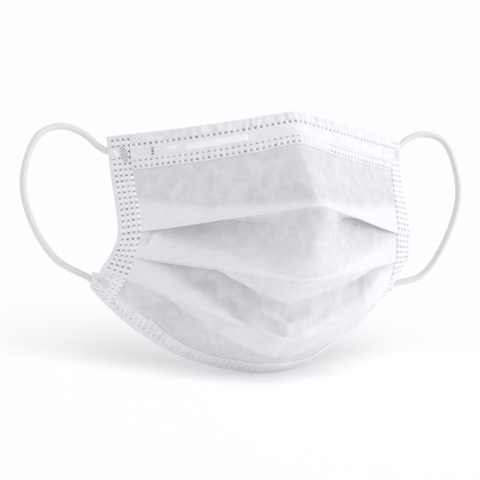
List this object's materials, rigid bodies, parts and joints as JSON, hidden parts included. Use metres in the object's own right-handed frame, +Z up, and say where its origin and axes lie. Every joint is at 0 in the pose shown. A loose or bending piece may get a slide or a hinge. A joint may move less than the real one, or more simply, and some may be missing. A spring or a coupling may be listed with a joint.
{
  "type": "earloop face mask",
  "caption": "Pleated white nonwoven face mask in worn form, with welded hems, a nose wire in the top hem and round elastic ear loops.",
  "frame": {"origin": "top edge at the middle of the nose, where the mask sits on the bridge of the nose", "axes": "+X to the right in the front view, -Y out of the front of the mask, +Z up as worn"},
  "size_m": [0.2274, 0.08, 0.1231],
  "materials": {
    "cloth": "matte spunbond nonwoven",
    "hem_cloth": "pressed and dot-welded nonwoven",
    "wire": "plastic-coated steel strip",
    "elastic": "knitted round elastic"
  },
  "bodies": {
    "root": {"mask_body": "cloth", "top_hem": "hem_cloth", "bottom_hem": "hem_cloth", "side_hem_left": "hem_cloth", "side_hem_right": "hem_cloth", "nose_wire": "wire", "ear_loop_left": "elastic", "ear_loop_right": "elastic"}
  },
  "joints": []
}
